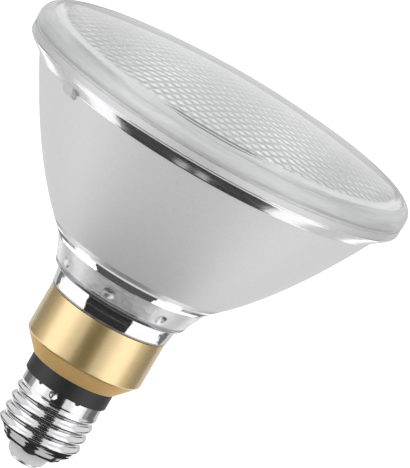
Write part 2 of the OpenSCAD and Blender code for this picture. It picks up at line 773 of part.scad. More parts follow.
// Electrolytic capacitor standing in front of the board
module bulk_capacitor() {
    color("midnightblue")
        translate([0, pcb_offset - seat_gap - bulk_cap_d / 2, pcb_foot_z + pcb_h * bulk_cap_foot_share])
            can(bulk_cap_d / 2, bulk_cap_h);
}

// Smaller electrolytic capacitor behind the board
module output_capacitor() {
    color("midnightblue")
        translate([-output_cap_d, pcb_back_y + seat_gap + output_cap_d / 2,
                pcb_foot_z + pcb_h * output_cap_foot_share])
            can(output_cap_d / 2, output_cap_h);
}

// Capacitor can with the crimped groove near its foot
module can(r, h) {
    groove = r / 10;
    turned([[0, 0], [r - groove, 0], [r, groove], [r, 2 * groove], [r - groove, 3 * groove],
        [r, 4 * groove], [r, h - groove], [r - groove, h], [0, h]]);
}

// Ferrite core with a window on each side of its middle leg
module transformer_core() {
    color("slategray")
        difference() {
            block(transformer_w, transformer_depth, transformer_h, transformer_y, transformer_z);
            for (side = [-1, 1])
                translate([side * transformer_w / 4, 0, 0])
                    block(transformer_w / 2 - core_leg_w, transformer_depth + 2 * overrun, window_h,
                        transformer_y - overrun, window_z);
        }
}

// Copper winding around the core's middle leg
module transformer_winding() {
    depth = transformer_depth + 2 * winding_reach;
    color("peru")
        difference() {
            block(transformer_w - core_leg_w - 2 * seat_gap, depth, window_h - 2 * seat_gap,
                transformer_y - winding_reach, window_z + seat_gap);
            block(core_leg_w + 2 * seat_gap, transformer_depth + 2 * seat_gap, window_h + 2 * overrun,
                transformer_y - seat_gap, window_z - overrun);
        }
}

// Boxed film capacitor behind the board
module film_capacitor() {
    color("firebrick")
        block(film_cap_w, film_cap_depth, film_cap_h, pcb_back_y, pcb_foot_z + pcb_h * film_cap_foot_share);
}

// Flat rectifier bridge behind the board
module bridge_rectifier() {
    color("black")
        block(chip_w, chip_t, chip_h, pcb_back_y, pcb_foot_z + pcb_h * rectifier_foot_share);
}

// Controller chip behind the board
module controller_chip() {
    color("black")
        translate([chip_w, 0, 0])
            block(chip_w, chip_t, chip_h, pcb_back_y, pcb_foot_z + pcb_h * controller_foot_share);
}

// Fuse resistor between the centre contact and the board, with its bent lead
module fuse_resistor() {
    bend_z = fuse_top_z + lead_d;
    color("tan") {
        translate([0, 0, fuse_foot_z])
            cylinder(d = fuse_d, h = fuse_h);
        translate([0, 0, fuse_lead_foot_z])
            cylinder(r = lead_r, h = bend_z + lead_r - fuse_lead_foot_z);
        translate([0, pcb_offset, bend_z])
            rotate([90, 0, 0])
                cylinder(r = lead_r, h = pcb_offset);
    }
}

// Wire from the board down and out to the inside of the shell
module neutral_wire() {
    y = pcb_back_y + neutral_r + seat_gap;
    top_z = pcb_foot_z + board_edge_gap;
    reach_x = chord_half(neutral_reach, y);
    color("blue") {
        translate([neutral_x, y, neutral_z])
            cylinder(r = neutral_r, h = top_z - neutral_z);
        translate([neutral_x, y, neutral_z])
            rotate([0, 90, 0])
                cylinder(r = neutral_r, h = reach_x - neutral_x);
    }
}

centre_contact();
cap_insulator();
screw_shell();
driver_housing();
housing_lid();
collar();
neck_cement();
reflector();
rim_seal();
lens();
heat_spreader();
thermal_pad();
light_board();
light_module();
phosphor_disc();
board_screws();
positive_wire();
negative_wire();
driver_board();
bulk_capacitor();
output_capacitor();
transformer_core();
transformer_winding();
film_capacitor();
bridge_rectifier();
controller_chip();
fuse_resistor();
neutral_wire();
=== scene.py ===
"""Looks of the par spotlight lamp: its glass, its metals, its inside and a plain studio.

Lengths in outlines are in millimetres in the part's own frame, where the axis is Z and the
centre contact's face is z = 0. Each piece is scaled to metres when its mesh is made. The
studio, the camera and the depths of bumps are in metres.
"""

import json
import math

import bpy
import numpy as np
from mathutils import Matrix, Vector


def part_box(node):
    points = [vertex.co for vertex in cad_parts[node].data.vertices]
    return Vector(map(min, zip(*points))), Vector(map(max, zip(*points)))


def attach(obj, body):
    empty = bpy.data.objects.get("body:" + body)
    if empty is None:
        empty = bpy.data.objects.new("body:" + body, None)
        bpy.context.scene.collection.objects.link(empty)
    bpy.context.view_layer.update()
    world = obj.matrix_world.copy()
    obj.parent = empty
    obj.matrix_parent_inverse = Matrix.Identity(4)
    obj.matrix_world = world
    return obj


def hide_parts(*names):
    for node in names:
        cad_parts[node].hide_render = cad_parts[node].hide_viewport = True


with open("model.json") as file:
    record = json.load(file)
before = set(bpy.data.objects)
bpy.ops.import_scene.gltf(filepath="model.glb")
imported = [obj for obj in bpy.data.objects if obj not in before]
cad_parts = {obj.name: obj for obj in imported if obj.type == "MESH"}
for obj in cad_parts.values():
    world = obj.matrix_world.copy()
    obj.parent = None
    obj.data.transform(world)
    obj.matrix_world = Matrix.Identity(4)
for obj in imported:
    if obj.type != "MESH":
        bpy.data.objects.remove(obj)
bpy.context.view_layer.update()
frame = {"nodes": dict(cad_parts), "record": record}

MM = 0.001


def span(node):
    """A CAD node's outer radius, its lowest and its highest point, in millimetres."""
    low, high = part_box(node)
    return [round(length / MM, 3) for length in (high.x, low.z, high.z)]


# Gaps, edges and walls that several parts share

FIT_GAP = 0.15
SEAT_GAP = 0.1
EDGE_BREAK = 0.3
GLASS_WALL = 2.6

# Heights closer than this count as one
TOUCH = 0.01

# Screw shell

SHELL_FOOT_Z, SHELL_TOP_Z = span("screw_shell")[1:]
SHELL_H = SHELL_TOP_Z - SHELL_FOOT_Z
SHELL_MOUTH_R = 6.6
SHELL_ROLL_R = 9.6
SHELL_ROLL_H = 1.9
SHELL_CONE_H = 2.7
SHELL_BAND_R = 12.65
SHELL_BAND_H = 3.4
SHELL_WALL = 0.3
THREAD_PITCH = 3.629
THREAD_DEPTH = 0.9
THREAD_TURN = 50
THREAD_ROOT_R = 12.15
NOTCH_COUNT = 6
NOTCH_TURN = -124.5
NOTCH_R = 0.95
NOTCH_DEPTH = 0.45
PUNCH_TURN = -98.5
PUNCH_DROP = 1.3
PUNCH_R = 1.15
PUNCH_DEPTH = 0.5

# Overall sizes of the collar, the reflector and the lens, from the frame

COLLAR_R, RING_TOP_Z, COLLAR_TOP_Z = span("collar")
REFLECTOR_R, COLLAR_POCKET_Z, RIM_TOP_Z = span("reflector")
LENS_R, LENS_FOOT_Z, CROWN_Z = span("lens")

# Collar

COLLAR_WALL = 1
COLLAR_BREAK = 0.5
COLLAR_FOOT_R = 13.8
COLLAR_FOOT_IN = 0.15
COLLAR_FOOT_OUT = 0.12
COLLAR_FOOT_UP = 0.14
COLLAR_CORNER_Z = COLLAR_TOP_Z - 15
COLLAR_POCKET_R = COLLAR_R - COLLAR_WALL
COLLAR_BORE_R = COLLAR_R - 3.2
COLLAR_SEAT_R = COLLAR_BORE_R - 0.9
COLLAR_SEAT_Z = COLLAR_CORNER_Z + COLLAR_WALL
COLLAR_FLARE_Z = COLLAR_CORNER_Z - COLLAR_WALL
COLLAR_THROAT_R = 13.3
COLLAR_THROAT_Z = RING_TOP_Z + 1.05

# Neck of the reflector

TAIL_R = COLLAR_POCKET_R - 0.35
TAIL_BORE_R = COLLAR_BORE_R + FIT_GAP
NECK_FOOT_Z = COLLAR_TOP_Z + FIT_GAP
NECK_EDGE_Z = NECK_FOOT_Z + 0.2
NECK_WAIST_R = COLLAR_R + 0.2
NECK_LIP_R = NECK_WAIST_R + 0.1
NECK_LIP_Z = NECK_FOOT_Z + 0.7
NECK_BAND_R = COLLAR_R + 0.95
NECK_BAND_Z = COLLAR_TOP_Z + 5.5
NECK_CONE_R = COLLAR_R + 3
NECK_CONE_Z = NECK_BAND_Z + NECK_CONE_R - NECK_BAND_R
NECK_TOP_R = COLLAR_R + 5.75
NECK_TOP_Z = NECK_CONE_Z + 6.1
DIMPLE_COUNT = 8
DIMPLE_TURN = -7
DIMPLE_R = 1.8
DIMPLE_DEPTH = 0.6
DIMPLE_Z_SHARE = 0.33

# Flare, bowl and rim of the reflector

FLARE_R = NECK_TOP_R + 1.32
FLARE_Z = NECK_TOP_Z + 1.4
FROST_Z = NECK_TOP_Z + 3.1
FROST_STEP = 0.25
FROST_LIP_R = 0.1
FROST_LIP_H = 0.12
FROST_LIP_DIP = 0.05
BRINK_SHARE = 0.4
BOWL_FOOT_R = NECK_TOP_R + 2.85
BOWL_SATIN_Z = FROST_Z + 1.65
BOWL_TOP_R = REFLECTOR_R - 5
RIM_WALL_Z = RIM_TOP_Z - 2.1
RIM_ROLL_Z = RIM_WALL_Z - 4.6
ROLL_CORNER_SHARE = 0.85
LUG_TURN = -137
LUG_W = 6
LUG_H = 6.5
LUG_REACH = 2
LUG_ROUNDING = 0.9

# The bowl is a paraboloid through its foot and its top
BOWL_FOCUS = (BOWL_TOP_R**2 - BOWL_FOOT_R**2) / (4 * (RIM_ROLL_Z - FROST_Z))

# Lens

LENS_EDGE_Z = LENS_FOOT_Z + 2
LENS_FACE_Z = LENS_EDGE_Z + 4
LENS_FACE_R = LENS_R - 5.1
LENS_BORE_R = LENS_FACE_R - EDGE_BREAK - FIT_GAP
LENS_WALL = 3.2
CREASE_INNER_R = LENS_FACE_R - 1.5
CREASE_OUTER_R = LENS_FACE_R + 1.8
DOME_H = CROWN_Z - LENS_FACE_Z
DOME_RADIUS = (LENS_FACE_R**2 + DOME_H**2) / (2 * DOME_H)
PEBBLE_FIELD_R = LENS_FACE_R - 1.4
PEBBLE_PITCH = 3.5
PEBBLE_DEPTH = 0.45
PEBBLE_SEAT = 0.05
PEBBLE_FADE = 1.2

# Outlines and meshes


def bowl_r(z):
    """Outer radius of the bowl at height z."""
    return np.sqrt(BOWL_FOOT_R**2 + 4 * BOWL_FOCUS * (z - FROST_Z))


def inner_bowl_r(z):
    """Inner radius of the bowl at height z, one wall away from the outer face."""
    slope = 2 * BOWL_FOCUS / bowl_r(z)
    return bowl_r(z) - GLASS_WALL * np.sqrt(1 + slope**2)


def sagitta(radius, half):
    """Rise of an arc of the given radius over half a chord."""
    return radius - np.sqrt(radius**2 - half**2)


def inner_dome_z(r):
    """Height of the lens's inner face, without its pebbles, at radius r."""
    return CROWN_Z - LENS_WALL - sagitta(DOME_RADIUS - LENS_WALL, r)


def line(start, end, count):
    """As many points as count says, evenly spaced from start to just before end."""
    t = np.arange(count)[:, None] / count
    return np.array(start) * (1 - t) + np.array(end) * t


def curve(p0, p1, p2, p3, count):
    """As many points as count says, on a cubic curve from p0 to just before p3."""
    t = np.arange(count)[:, None] / count
    p0, p1, p2, p3 = map(np.array, (p0, p1, p2, p3))
    return p0 * (1 - t) ** 3 + 3 * p1 * t * (1 - t) ** 2 + 3 * p2 * t**2 * (1 - t) + p3 * t**3


def bend(start, corner, end, count):
    """As many points as count says, rounding a corner from start to just before end."""
    return curve(start, corner, corner, end, count)


def turn(outline, segments):
    """Rows of points of an outline of (radius, height) turned around the axis."""
    outline = np.asarray(outline, float)
    angle = 2 * math.pi * np.arange(segments) / segments
    r, z = outline[:, :1], outline[:, 1:]
    return np.stack([r * np.cos(angle), r * np.sin(angle), z + 0 * angle], -1)


def band_faces(first, second, segments):
    """Four-sided faces between two closed rows, given by the numbers of their first points."""
    k = np.arange(segments)
    n = (k + 1) % segments
    return np.stack([first + k, first + n, second + n, second + k], -1).tolist()


def row_faces(rows, segments, closed, first=0):
    """Faces between neighbouring rows of points; closed joins the last row to the first."""
    faces = []
    for i in range(rows if closed else rows - 1):
        faces += band_faces(first + i * segments, first + (i + 1) % rows * segments, segments)
    return faces


def disc(rings):
    """Even triangles over a disc of radius 1: its points, ring by ring, and its faces."""
    points, faces, start = [(0.0, 0.0)], [], 1
    for ring in range(1, rings + 1):
        count, inner = 6 * ring, 6 * (ring - 1)
        angle = 2 * math.pi * np.arange(count) / count
        points += list(zip(ring / rings * np.cos(angle), ring / rings * np.sin(angle)))
        before = start - max(inner, 1)
        for side in range(6):
            for step in range(ring):
                outer = start + side * ring + step
                following = start + (side * ring + step + 1) % count
                a = before + (side * (ring - 1) + step) % max(inner, 1)
                faces.append((a, outer, following))
                if step < ring - 1:
                    faces.append((a, following, before + (side * (ring - 1) + step + 1) % inner))
        start += count
    return np.array(points), np.array(faces)


def piece(name, points, faces, looks, zones=None, sharp=32):
    """A mesh object from points in millimetres. zones gives each face's place in looks, and
    edges sharper than so many degrees stay crisp."""
    mesh = bpy.data.meshes.new(name)
    mesh.from_pydata((np.asarray(points).reshape(-1, 3) * MM).tolist(), [], faces)
    for look in looks:
        mesh.materials.append(look)
    if zones is not None:
        mesh.polygons.foreach_set("material_index", np.asarray(zones, np.int32))
    mesh.shade_smooth()
    mesh.set_sharp_from_angle(angle=math.radians(sharp))
    obj = bpy.data.objects.new(name, mesh)
    bpy.context.scene.collection.objects.link(obj)
    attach(obj, "root")
    return obj


# Materials

REFRACTION = 1.5
NOISE_DETAIL = 4
NOISE_LOW = 0.3
NOISE_HIGH = 0.7


def grain_noise(tree, grain, stretch):
    """Noise of the given grain, per metre, in the object's own frame."""
    place = tree.nodes.new("ShaderNodeTexCoord")
    scale = tree.nodes.new("ShaderNodeMapping")
    scale.inputs["Scale"].default_value = stretch
    tree.links.new(place.outputs["Object"], scale.inputs["Vector"])
    noise = tree.nodes.new("ShaderNodeTexNoise")
    noise.inputs["Scale"].default_value = grain
    noise.inputs["Detail"].default_value = NOISE_DETAIL
    tree.links.new(scale.outputs["Vector"], noise.inputs["Vector"])
    return noise.outputs["Fac"]


def vary_colour(tree, noise, socket, colour, variation):
    """Let the noise swing the colour by the share variation to either side."""
    tint = tree.nodes.new("ShaderNodeValToRGB")
    low, high = tint.color_ramp.elements
    low.position, high.position = NOISE_LOW, NOISE_HIGH
    low.color = (*[c * (1 - variation) for c in colour], 1)
    high.color = (*[min(1, c * (1 + variation)) for c in colour], 1)
    tree.links.new(noise, tint.inputs["Fac"])
    tree.links.new(tint.outputs["Color"], socket)


def vary_roughness(tree, noise, socket, roughness, uneven):
    """Let the noise swing the roughness by uneven to either side."""
    rough = tree.nodes.new("ShaderNodeMapRange")
    rough.inputs["To Min"].default_value = max(0.0, roughness - uneven)
    rough.inputs["To Max"].default_value = min(1.0, roughness + uneven)
    tree.links.new(noise, rough.inputs["Value"])
    tree.links.new(rough.outputs["Result"], socket)


def raise_bumps(tree, noise, socket, bump, bump_depth, lift):
    """Bumps from the noise, on a normal that lift turns upwards or, below 0, downwards."""
    raised = tree.nodes.new("ShaderNodeBump")
    raised.inputs["Strength"].default_value = bump
    raised.inputs["Distance"].default_value = bump_depth
    tree.links.new(noise, raised.inputs["Height"])
    tree.links.new(raised.outputs["Normal"], socket)
    if lift:
        face = tree.nodes.new("ShaderNodeNewGeometry")
        turned = tree.nodes.new("ShaderNodeVectorMath")
        turned.inputs[1].default_value = (0, 0, lift)
        unit = tree.nodes.new("ShaderNodeVectorMath")
        unit.operation = "NORMALIZE"
        tree.links.new(face.outputs["Normal"], turned.inputs[0])
        tree.links.new(turned.outputs["Vector"], unit.inputs[0])
        tree.links.new(unit.outputs["Vector"], raised.inputs["Normal"])


def surface(
    name,
    colour,
    roughness,
    variation,
    grain,
    metallic=0.0,
    stretch=(1, 1, 1),
    uneven=0.0,
    bump=0.0,
    bump_depth=0.0001,
    coat=0.0,
    coat_ior=1.5,
    coat_roughness=0.04,
    transmission=0.0,
    lift=0.0,
):
    """A node material whose colour, roughness and bumps follow one noise. Glass with a mirror
    coat behind it reflects from a face of another slope, which lift stands for."""
    mat = bpy.data.materials.new(name)
    mat.use_nodes = True
    tree = mat.node_tree
    sockets = tree.nodes["Principled BSDF"].inputs
    sockets["Metallic"].default_value = metallic
    sockets["IOR"].default_value = REFRACTION
    sockets["Coat Weight"].default_value = coat
    sockets["Coat IOR"].default_value = coat_ior
    sockets["Coat Roughness"].default_value = coat_roughness
    sockets["Transmission Weight"].default_value = transmission
    noise = grain_noise(tree, grain, stretch)
    vary_colour(tree, noise, sockets["Base Color"], colour, variation)
    vary_roughness(tree, noise, sockets["Roughness"], roughness, uneven)
    if bump:
        raise_bumps(tree, noise, sockets["Normal"], bump, bump_depth, lift)
    return mat


# Looks by material slot, for all that isn't glass

SLOT_FINISHES = {
    "contact_metal": dict(
        colour=(0.72, 0.72, 0.73), metallic=1, roughness=0.32, variation=0.06, grain=900,
        uneven=0.08, bump=0.2),
    "white_plastic": dict(
        colour=(0.64, 0.64, 0.64), roughness=0.45, variation=0.03, grain=250, bump=0.15),
    "nickel": dict(
        colour=(0.66, 0.66, 0.67), metallic=1, roughness=0.13, variation=0.05, grain=500,
        uneven=0.05, bump=0.12, bump_depth=0.00005),
    "black_plastic": dict(
        colour=(0.012, 0.012, 0.014), roughness=0.45, variation=0.15, grain=700, uneven=0.08,
        bump=0.3),
    "gold_aluminium": dict(
        colour=(0.74, 0.52, 0.19), metallic=0.85, roughness=0.34, variation=0.04, grain=1500,
        uneven=0.05, bump=0.15, bump_depth=0.00004, coat=1, coat_ior=2.4, coat_roughness=0.24),
    "cement": dict(
        colour=(0.62, 0.61, 0.58), roughness=0.9, variation=0.15, grain=900, bump=0.6,
        bump_depth=0.0003),
    "seal": dict(
        colour=(0.72, 0.72, 0.72), metallic=0.5, roughness=0.45, variation=0.1, grain=500,
        bump=0.2),
    "bare_aluminium": dict(
        colour=(0.74, 0.74, 0.76), metallic=1, roughness=0.33, variation=0.06, grain=400,
        stretch=(1, 8, 1), uneven=0.1, bump=0.2),
    "pad": dict(colour=(0.46, 0.44, 0.52), roughness=0.8, variation=0.08, grain=800, bump=0.3),
    "white_board": dict(
        colour=(0.80, 0.80, 0.77), roughness=0.35, variation=0.03, grain=500, bump=0.1),
    "module_ceramic": dict(
        colour=(0.82, 0.80, 0.74), roughness=0.5, variation=0.04, grain=700, bump=0.2),
    "phosphor": dict(
        colour=(0.86, 0.62, 0.08), roughness=0.35, variation=0.06, grain=1200, uneven=0.1,
        bump=0.3, coat=0.3),
    "screw_steel": dict(
        colour=(0.62, 0.62, 0.62), metallic=1, roughness=0.28, variation=0.08, grain=900,
        uneven=0.1, bump=0.15),
    "red_wire": dict(
        colour=(0.50, 0.02, 0.02), roughness=0.4, variation=0.08, grain=600, bump=0.15),
    "black_wire": dict(
        colour=(0.02, 0.02, 0.02), roughness=0.4, variation=0.1, grain=600, bump=0.15),
    "blue_wire": dict(
        colour=(0.02, 0.06, 0.40), roughness=0.4, variation=0.08, grain=600, bump=0.15),
    "green_board": dict(
        colour=(0.02, 0.20, 0.08), roughness=0.35, variation=0.12, grain=350, uneven=0.1,
        bump=0.2, coat=0.3),
    "capacitor_sleeve": dict(
        colour=(0.02, 0.03, 0.12), roughness=0.3, variation=0.1, grain=300, bump=0.1, coat=0.4),
    "ferrite": dict(
        colour=(0.06, 0.06, 0.065), roughness=0.7, variation=0.2, grain=1200, bump=0.5),
    "copper": dict(
        colour=(0.70, 0.28, 0.12), metallic=1, roughness=0.3, variation=0.15, grain=250,
        stretch=(1, 1, 14), uneven=0.1, bump=0.8, bump_depth=0.0003),
    "film_box": dict(
        colour=(0.36, 0.06, 0.02), roughness=0.35, variation=0.08, grain=400, bump=0.15),
    "chip": dict(
        colour=(0.025, 0.025, 0.025), roughness=0.6, variation=0.15, grain=1500, bump=0.4),
    "fuse_body": dict(
        colour=(0.50, 0.36, 0.20), roughness=0.45, variation=0.08, grain=700, bump=0.3),
}

# Looks of single zones: the collar's cone, the reflector from its neck up, and the lens

ZONE_FINISHES = {
    # Partly painted light: the collar's cone is rougher satin, and its gold is lighter than the collar's
    # to make up for light it lacks
    "gold_cone_painted_light": dict(
        colour=(0.86, 0.58, 0.24), metallic=0.75, roughness=0.6, variation=0.04, grain=1500,
        uneven=0.05, bump=0.15, bump_depth=0.00004),
    "neck_glass": dict(
        colour=(0.84, 0.84, 0.85), metallic=0.75, roughness=0.34, variation=0.04, grain=260,
        uneven=0.15, bump=0.4, bump_depth=0.0006, transmission=1),
    "band_glass": dict(
        colour=(0.84, 0.84, 0.85), metallic=0.85, roughness=0.06, variation=0.02, grain=160,
        uneven=0.03, bump=0.25, bump_depth=0.0006, transmission=1),
    # Painted shade: dark glass for the shadow lines at the neck's lip by the collar and under the band
    "ledge_painted_shade": dict(
        colour=(0.30, 0.30, 0.31), metallic=0.9, roughness=0.22, variation=0.08, grain=300,
        uneven=0.08, bump=0.3, bump_depth=0.0004),
    "flare_glass": dict(
        colour=(0.84, 0.84, 0.85), metallic=0.9, roughness=0.05, variation=0.02, grain=160,
        uneven=0.03, bump=0.2, bump_depth=0.0004, lift=0.55),
    "brink_glass": dict(
        colour=(0.90, 0.90, 0.91), metallic=0.9, roughness=0.15, variation=0.02, grain=160,
        uneven=0.03, bump=0.2, bump_depth=0.0004, lift=0.3),
    # Partly painted shade: the bowl's frosted foot, coloured darker than the bowl for the shade where it
    # meets the neck
    "bowl_foot_glass_painted_shade": dict(
        colour=(0.62, 0.62, 0.625), metallic=0.9, roughness=0.36, variation=0.03, grain=900,
        uneven=0.06, bump=0.3, bump_depth=0.0002, lift=0.6),
    "bowl_glass": dict(
        colour=(0.70, 0.70, 0.705), metallic=0.6, roughness=0.55, variation=0.03, grain=1400,
        uneven=0.05, bump=0.35, bump_depth=0.00012),
    "roll_glass": dict(
        colour=(0.80, 0.80, 0.81), metallic=0.85, roughness=0.15, variation=0.02, grain=180,
        uneven=0.03, bump=0.12, bump_depth=0.0004, transmission=1),
    "rim_glass": dict(
        colour=(0.80, 0.80, 0.81), metallic=0.15, roughness=0.35, variation=0.02, grain=180,
        uneven=0.05, bump=0.15, bump_depth=0.0004, transmission=0.3),
    # Painted shade: glass greyer than the bowl's, for the shade on the lug in the hollow under the rim
    "lug_glass_painted_shade": dict(
        colour=(0.58, 0.58, 0.585), metallic=0.6, roughness=0.5, variation=0.03, grain=300,
        uneven=0.04, bump=0.15, bump_depth=0.0002),
    "inner_mirror": dict(
        colour=(0.94, 0.94, 0.94), metallic=1, roughness=0.12, variation=0.02, grain=220,
        uneven=0.03, bump=0.1, bump_depth=0.0003),
    "lens_glass": dict(
        colour=(0.98, 0.99, 0.99), roughness=0.02, variation=0.01, grain=200, transmission=1),
    "crease_glass": dict(
        colour=(0.86, 0.87, 0.87), metallic=0.45, roughness=0.12, variation=0.01, grain=200,
        uneven=0.04, bump=0.1, bump_depth=0.0002, transmission=0.6, lift=-0.75),
    "shoulder_glass": dict(
        colour=(0.90, 0.91, 0.91), roughness=0.14, variation=0.06, grain=90,
        stretch=(0.5, 0.5, 9), uneven=0.06, bump=0.7, bump_depth=0.0008, transmission=0.55),
    "ground_edge_glass": dict(
        colour=(0.62, 0.62, 0.62), metallic=0.3, roughness=0.4, variation=0.03, grain=400,
        uneven=0.04),
    "pebbled_glass": dict(
        colour=(0.98, 0.985, 0.985), roughness=0.22, variation=0.02, grain=400, uneven=0.05,
        transmission=0.75),
}

LOOKS = {name: surface(name, **finish) for name, finish in SLOT_FINISHES.items()}
ZONE_LOOKS = {name: surface(name, **finish) for name, finish in ZONE_FINISHES.items()}

for row in frame["record"]["subparts"]:
    if row["material_slot"] in LOOKS:
        slots = frame["nodes"][row["node"]].data.materials
        slots.clear()
        slots.append(LOOKS[row["material_slot"]])

# Screw shell


def shell_base_r(h):
    """Outer radius of the shell without its thread at height h above its lower edge."""
    thread_top = SHELL_H - SHELL_BAND_H
    rolled = np.sqrt(np.clip(1 - (1 - h / SHELL_ROLL_H) ** 2, 0, 1))
    roll = SHELL_MOUTH_R + (SHELL_ROLL_R - SHELL_MOUTH_R) * rolled
    cone = SHELL_ROLL_R + (THREAD_ROOT_R - SHELL_ROLL_R) * (h - SHELL_ROLL_H) / SHELL_CONE_H
    blend = np.clip(1 - (thread_top - h) * 2 / THREAD_PITCH, 0, 1)
    wall = THREAD_ROOT_R + (SHELL_BAND_R - THREAD_ROOT_R) * blend
    return np.where(h < SHELL_ROLL_H, roll, np.where(h < SHELL_ROLL_H + SHELL_CONE_H, cone, wall))


def thread_bump(h, angle):
    """Height of the round thread over its root."""
    foot = SHELL_ROLL_H + THREAD_PITCH / 4
    top = SHELL_H - SHELL_BAND_H
    fade = np.clip(np.minimum(h - foot, top - h) * 2 / THREAD_PITCH, 0, 1)
    phase = 2 * math.pi * h / THREAD_PITCH + math.radians(THREAD_TURN) - angle
    return THREAD_DEPTH * fade * (1 + np.cos(phase)) / 2


def dent(angle, h, turn_deg, height, radius, depth):
    """Depth of a round dent in the shell's band around one point."""
    turned = np.remainder(angle - math.radians(turn_deg) + math.pi, 2 * math.pi) - math.pi
    d = np.hypot(turned * SHELL_BAND_R, h - height) / radius
    return depth * np.clip(1 - d**2, 0, 1)


def screw_shell():
    """Rolled nickel sheet with the round thread, the crimp notches and one punch mark."""
    segments = 288
    heights = np.concatenate([
        SHELL_ROLL_H * (1 - np.cos(np.linspace(0, math.pi / 2, 12))),
        np.linspace(SHELL_ROLL_H, SHELL_H, 122)[1:],
    ])
    angle = 2 * math.pi * np.arange(segments)[None, :] / segments
    h = heights[:, None] + 0 * angle
    turns = [NOTCH_TURN + 360 * i / NOTCH_COUNT for i in range(NOTCH_COUNT)]
    marks = sum(dent(angle, h, turn_deg, SHELL_H, NOTCH_R, NOTCH_DEPTH) for turn_deg in turns)
    marks = marks + dent(angle, h, PUNCH_TURN, SHELL_H - PUNCH_DROP, PUNCH_R, PUNCH_DEPTH)
    outer = shell_base_r(h) + thread_bump(h, angle) - marks
    rolled_h = SHELL_ROLL_H - (SHELL_ROLL_H - SHELL_WALL) * (1 - h / SHELL_ROLL_H)
    inner_h = np.where(h < SHELL_ROLL_H, rolled_h, h)
    outside, inside = [
        np.stack([radius * np.cos(angle), radius * np.sin(angle), height + SHELL_FOOT_Z], -1)
        for radius, height in ((outer, h), (outer - SHELL_WALL, inner_h))
    ]
    rows = np.concatenate([outside, inside[::-1]])
    faces = row_faces(len(rows), segments, True)
    made = piece("cap_shell", rows, faces, [LOOKS["nickel"]], sharp=50)
    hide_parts("screw_shell")


screw_shell()

# Collar


def collar():
    """Gold collar, turned, with its corners softly broken."""
    slope = Vector((COLLAR_R - COLLAR_FOOT_R, COLLAR_CORNER_Z - RING_TOP_Z)).normalized()
    foot = (COLLAR_FOOT_R, RING_TOP_Z)
    foot_in = (COLLAR_FOOT_R - COLLAR_FOOT_IN, RING_TOP_Z)
    foot_out = (COLLAR_FOOT_R + COLLAR_FOOT_OUT, RING_TOP_Z + COLLAR_FOOT_UP)
    corner = (COLLAR_R, COLLAR_CORNER_Z)
    below = (COLLAR_R - slope.x * COLLAR_BREAK, COLLAR_CORNER_Z - slope.y * COLLAR_BREAK)
    above = (COLLAR_R, COLLAR_CORNER_Z + COLLAR_BREAK)
    edge = (COLLAR_R, COLLAR_TOP_Z)
    edge_out = (COLLAR_R, COLLAR_TOP_Z - EDGE_BREAK)
    edge_in = (COLLAR_R - EDGE_BREAK, COLLAR_TOP_Z)
    outline = np.concatenate([
        line((COLLAR_THROAT_R, RING_TOP_Z), foot_in, 2),
        bend(foot_in, foot, foot_out, 4),
        line(foot_out, below, 8),
        bend(below, corner, above, 6),
        line(above, edge_out, 16),
        bend(edge_out, edge, edge_in, 5),
        [
            edge_in,
            (COLLAR_POCKET_R, COLLAR_TOP_Z),
            (COLLAR_POCKET_R, COLLAR_POCKET_Z),
            (COLLAR_BORE_R, COLLAR_POCKET_Z),
            (COLLAR_BORE_R, COLLAR_SEAT_Z),
            (COLLAR_SEAT_R, COLLAR_SEAT_Z),
            (COLLAR_SEAT_R, COLLAR_FLARE_Z),
            (COLLAR_THROAT_R, COLLAR_THROAT_Z),
        ],
    ])
    segments = 192
    rows = turn(outline, segments)
    on_cone = (outline[:, 0] > COLLAR_FOOT_R) & (outline[:, 1] < below[1] - TOUCH)
    # The cone's gold is lighter than the collar's: painted light
    looks = [LOOKS["gold_aluminium"], ZONE_LOOKS["gold_cone_painted_light"]]
    made = piece("collar_metal", rows, row_faces(len(rows), segments, True), looks,
                 np.repeat(on_cone, segments))
    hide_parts("collar")


collar()

# Reflector

REFLECTOR_ZONES = [
    "neck_glass", "bowl_glass", "rim_glass", "inner_mirror", "roll_glass", "band_glass",
    "ledge_painted_shade", "flare_glass", "bowl_foot_glass_painted_shade", "brink_glass",
]


def neck_outline():
    """The look and the outline of each zone from the tail in the collar up to the flare."""
    ledge = np.linspace(0, math.pi / 2, 10)[:-1]
    ledge_r = NECK_BAND_R + (NECK_CONE_R - NECK_BAND_R) * np.sin(ledge)
    ledge_z = NECK_CONE_Z - (NECK_CONE_Z - NECK_BAND_Z) * np.cos(ledge)
    tail = [(TAIL_BORE_R, COLLAR_POCKET_Z), (TAIL_R, COLLAR_POCKET_Z), (TAIL_R, NECK_FOOT_Z)]
    lip = (NECK_LIP_R, NECK_LIP_Z)
    return [
        ("neck_glass", [*tail, (NECK_WAIST_R - EDGE_BREAK, NECK_FOOT_Z)]),
        # The lip by the collar and the ledge under the band are painted shade: dark glass for their
        # shadow lines
        ("ledge_painted_shade", line((NECK_WAIST_R, NECK_EDGE_Z), lip, 3)),
        ("band_glass", line(lip, (NECK_BAND_R, NECK_BAND_Z), 14)),
        ("ledge_painted_shade", np.stack([ledge_r, ledge_z], -1)),
        ("neck_glass", line((NECK_CONE_R, NECK_CONE_Z), (NECK_TOP_R, NECK_TOP_Z), 30)),
    ]


